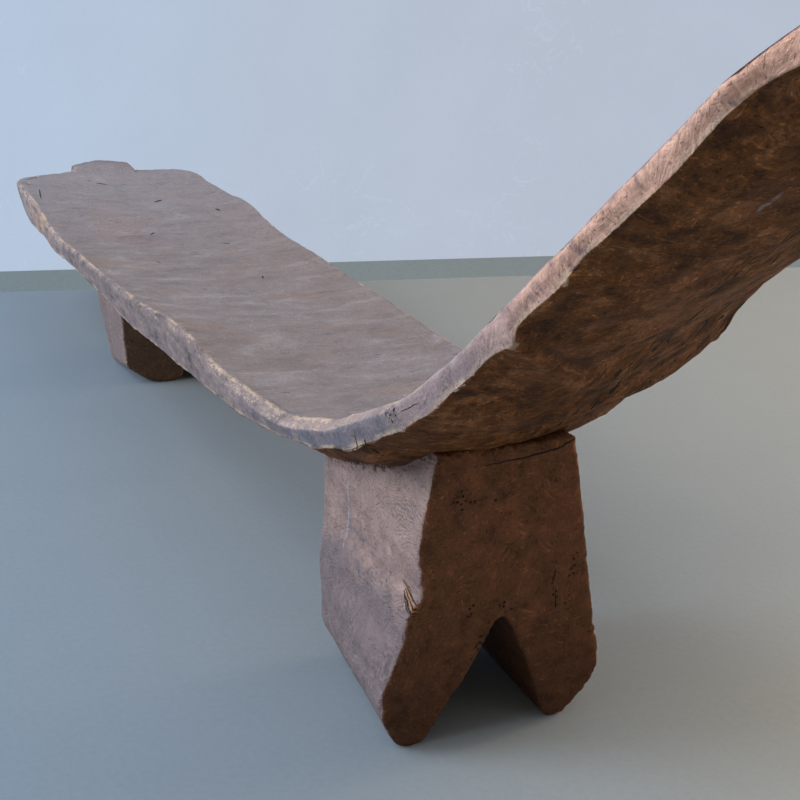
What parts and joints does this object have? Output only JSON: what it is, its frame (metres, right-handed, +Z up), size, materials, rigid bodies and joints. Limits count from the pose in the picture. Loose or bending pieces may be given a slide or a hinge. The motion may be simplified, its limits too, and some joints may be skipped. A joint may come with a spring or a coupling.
{
  "type": "carved log daybed",
  "caption": "Low one-log daybed: a long dished slab that bends up into a sloping headrest, on two notched legs.",
  "frame": {"origin": "floor level, under the middle of the overall box", "axes": "+X along the bed from the foot end to the raised head end, -Y to the left and +Y to the right of a person lying on it, +Z up"},
  "size_m": [2.22, 0.3484, 0.625],
  "materials": {
    "carved_wood": "adzed hardwood, greyed and worn on top, dark brown patina beneath"
  },
  "bodies": {
    "root": {"bed_slab": "carved_wood", "headrest": "carved_wood", "end_lug": "carved_wood", "head_leg": "carved_wood", "head_toe_left": "carved_wood", "head_toe_right": "carved_wood", "foot_leg": "carved_wood", "foot_toe_left": "carved_wood", "foot_toe_right": "carved_wood"}
  },
  "joints": []
}
